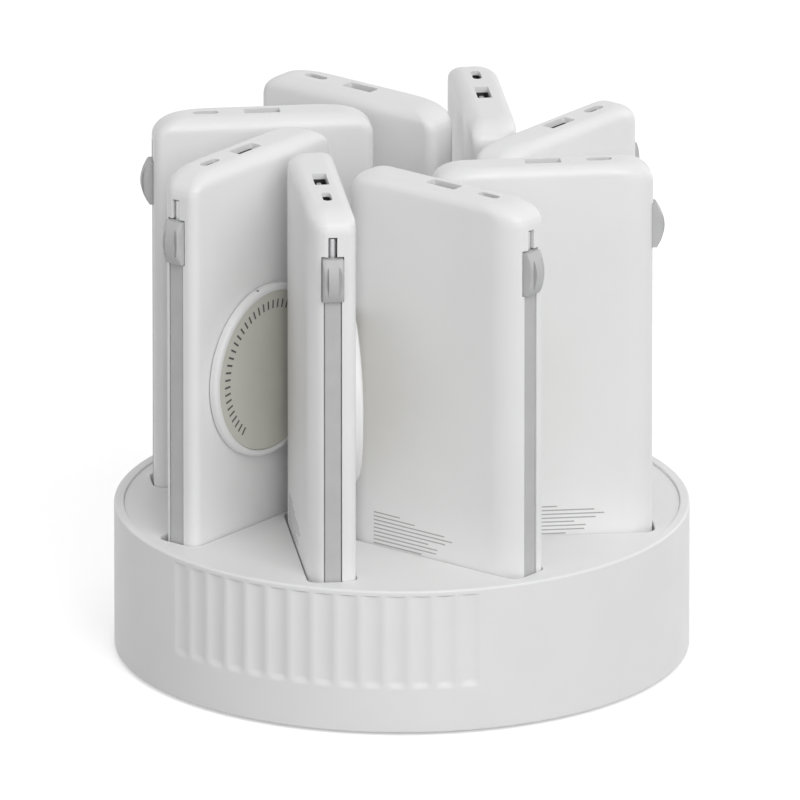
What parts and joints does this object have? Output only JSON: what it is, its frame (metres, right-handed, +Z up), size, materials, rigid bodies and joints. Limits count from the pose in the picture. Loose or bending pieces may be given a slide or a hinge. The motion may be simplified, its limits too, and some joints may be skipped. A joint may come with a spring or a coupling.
{
  "type": "power bank charging station",
  "caption": "Round tabletop charging station: a low drum whose deck holds upright power banks in a pinwheel, each with a built-in cable and a wireless charging disc.",
  "frame": {"origin": "on the drum's axis, on the surface that the four feet stand on", "axes": "+Z up along the drum's axis; -Y is the front, where the wall has its flutes; +X is to the right seen from the front"},
  "size_m": [0.2, 0.2, 0.1855],
  "materials": {
    "white_shell": "fine satin moulded plastic",
    "white_deck": "fine satin moulded plastic",
    "cover_plastic": "matt moulded plastic",
    "circuit_board": "green circuit board",
    "black_plastic": "matt black plastic",
    "rubber": "matt rubber",
    "white_bank": "satin moulded plastic",
    "cells": "foil-wrapped cells and metal socket cans",
    "disc_grey": "soft-touch grey face in a white ring",
    "cable_grey": "soft grey strap and plug"
  },
  "bodies": {
    "base": {"drum_shell": "white_shell", "deck_plate": "white_deck", "bottom_cover": "cover_plastic", "charging_board": "circuit_board", "power_module": "black_plastic", "power_inlet": "black_plastic", "foot_1": "rubber", "foot_2": "rubber", "foot_3": "rubber", "foot_4": "rubber"},
    "bank_1": {"bank_1_housing": "white_bank", "bank_1_end_cap": "white_bank", "bank_1_cell_pack": "cells", "bank_1_disc": "disc_grey"},
    "cable_1": {"bank_1_cable": "cable_grey"},
    "button_1": {"bank_1_button": "white_bank"},
    "bank_2": {"bank_2_housing": "white_bank", "bank_2_end_cap": "white_bank", "bank_2_cell_pack": "cells", "bank_2_disc": "disc_grey"},
    "cable_2": {"bank_2_cable": "cable_grey"},
    "button_2": {"bank_2_button": "white_bank"},
    "bank_3": {"bank_3_housing": "white_bank", "bank_3_end_cap": "white_bank", "bank_3_cell_pack": "cells", "bank_3_disc": "disc_grey"},
    "cable_3": {"bank_3_cable": "cable_grey"},
    "button_3": {"bank_3_button": "white_bank"},
    "bank_4": {"bank_4_housing": "white_bank", "bank_4_end_cap": "white_bank", "bank_4_cell_pack": "cells", "bank_4_disc": "disc_grey"},
    "cable_4": {"bank_4_cable": "cable_grey"},
    "button_4": {"bank_4_button": "white_bank"},
    "bank_5": {"bank_5_housing": "white_bank", "bank_5_end_cap": "white_bank", "bank_5_cell_pack": "cells", "bank_5_disc": "disc_grey"},
    "cable_5": {"bank_5_cable": "cable_grey"},
    "button_5": {"bank_5_button": "white_bank"},
    "bank_6": {"bank_6_housing": "white_bank", "bank_6_end_cap": "white_bank", "bank_6_cell_pack": "cells", "bank_6_disc": "disc_grey"},
    "cable_6": {"bank_6_cable": "cable_grey"},
    "button_6": {"bank_6_button": "white_bank"},
    "bank_7": {"bank_7_housing": "white_bank", "bank_7_end_cap": "white_bank", "bank_7_cell_pack": "cells", "bank_7_disc": "disc_grey"},
    "cable_7": {"bank_7_cable": "cable_grey"},
    "button_7": {"bank_7_button": "white_bank"},
    "bank_8": {"bank_8_housing": "white_bank", "bank_8_end_cap": "white_bank", "bank_8_cell_pack": "cells", "bank_8_disc": "disc_grey"},
    "cable_8": {"bank_8_cable": "cable_grey"},
    "button_8": {"bank_8_button": "white_bank"}
  },
  "joints": [
    {"name": "bank_1_lift", "type": "slide", "parent": "base", "child": "bank_1", "axis": [0, 0, 1], "range_m": [0, 0.16]},
    {"name": "cable_1_swing", "type": "hinge", "parent": "bank_1", "child": "cable_1", "pos_m": [-0.02387, -0.08557, 0.0548], "axis": [0.9934, 0.1149, 0], "range_deg": [0, 90]},
    {"name": "button_1_press", "type": "slide", "parent": "bank_1", "child": "button_1", "axis": [0.1149, -0.9934, 0], "range_m": [0, 0.0008], "stiffness_N_per_m": 800},
    {"name": "bank_2_lift", "type": "slide", "parent": "base", "child": "bank_2", "axis": [0, 0, 1], "range_m": [0, 0.16]},
    {"name": "cable_2_swing", "type": "hinge", "parent": "bank_2", "child": "cable_2", "pos_m": [0.04363, -0.07739, 0.0548], "axis": [0.6211, 0.7837, 0], "range_deg": [0, 90]},
    {"name": "button_2_press", "type": "slide", "parent": "bank_2", "child": "button_2", "axis": [0.7837, -0.6211, 0], "range_m": [0, 0.0008], "stiffness_N_per_m": 800},
    {"name": "bank_3_lift", "type": "slide", "parent": "base", "child": "bank_3", "axis": [0, 0, 1], "range_m": [0, 0.16]},
    {"name": "cable_3_swing", "type": "hinge", "parent": "bank_3", "child": "cable_3", "pos_m": [0.08557, -0.02387, 0.0548], "axis": [-0.1149, 0.9934, 0], "range_deg": [0, 90]},
    {"name": "button_3_press", "type": "slide", "parent": "bank_3", "child": "button_3", "axis": [0.9934, 0.1149, 0], "range_m": [0, 0.0008], "stiffness_N_per_m": 800},
    {"name": "bank_4_lift", "type": "slide", "parent": "base", "child": "bank_4", "axis": [0, 0, 1], "range_m": [0, 0.16]},
    {"name": "cable_4_swing", "type": "hinge", "parent": "bank_4", "child": "cable_4", "pos_m": [0.07739, 0.04363, 0.0548], "axis": [-0.7837, 0.6211, 0], "range_deg": [0, 90]},
    {"name": "button_4_press", "type": "slide", "parent": "bank_4", "child": "button_4", "axis": [0.6211, 0.7837, 0], "range_m": [0, 0.0008], "stiffness_N_per_m": 800},
    {"name": "bank_5_lift", "type": "slide", "parent": "base", "child": "bank_5", "axis": [0, 0, 1], "range_m": [0, 0.16]},
    {"name": "cable_5_swing", "type": "hinge", "parent": "bank_5", "child": "cable_5", "pos_m": [0.02387, 0.08557, 0.0548], "axis": [-0.9934, -0.1149, 0], "range_deg": [0, 90]},
    {"name": "button_5_press", "type": "slide", "parent": "bank_5", "child": "button_5", "axis": [-0.1149, 0.9934, 0], "range_m": [0, 0.0008], "stiffness_N_per_m": 800},
    {"name": "bank_6_lift", "type": "slide", "parent": "base", "child": "bank_6", "axis": [0, 0, 1], "range_m": [0, 0.16]},
    {"name": "cable_6_swing", "type": "hinge", "parent": "bank_6", "child": "cable_6", "pos_m": [-0.04363, 0.07739, 0.0548], "axis": [-0.6211, -0.7837, 0], "range_deg": [0, 90]},
    {"name": "button_6_press", "type": "slide", "parent": "bank_6", "child": "button_6", "axis": [-0.7837, 0.6211, 0], "range_m": [0, 0.0008], "stiffness_N_per_m": 800},
    {"name": "bank_7_lift", "type": "slide", "parent": "base", "child": "bank_7", "axis": [0, 0, 1], "range_m": [0, 0.16]},
    {"name": "cable_7_swing", "type": "hinge", "parent": "bank_7", "child": "cable_7", "pos_m": [-0.08557, 0.02387, 0.0548], "axis": [0.1149, -0.9934, 0], "range_deg": [0, 90]},
    {"name": "button_7_press", "type": "slide", "parent": "bank_7", "child": "button_7", "axis": [-0.9934, -0.1149, 0], "range_m": [0, 0.0008], "stiffness_N_per_m": 800},
    {"name": "bank_8_lift", "type": "slide", "parent": "base", "child": "bank_8", "axis": [0, 0, 1], "range_m": [0, 0.16]},
    {"name": "cable_8_swing", "type": "hinge", "parent": "bank_8", "child": "cable_8", "pos_m": [-0.07739, -0.04363, 0.0548], "axis": [0.7837, -0.6211, 0], "range_deg": [0, 90]},
    {"name": "button_8_press", "type": "slide", "parent": "bank_8", "child": "button_8", "axis": [-0.6211, -0.7837, 0], "range_m": [0, 0.0008], "stiffness_N_per_m": 800}
  ]
}
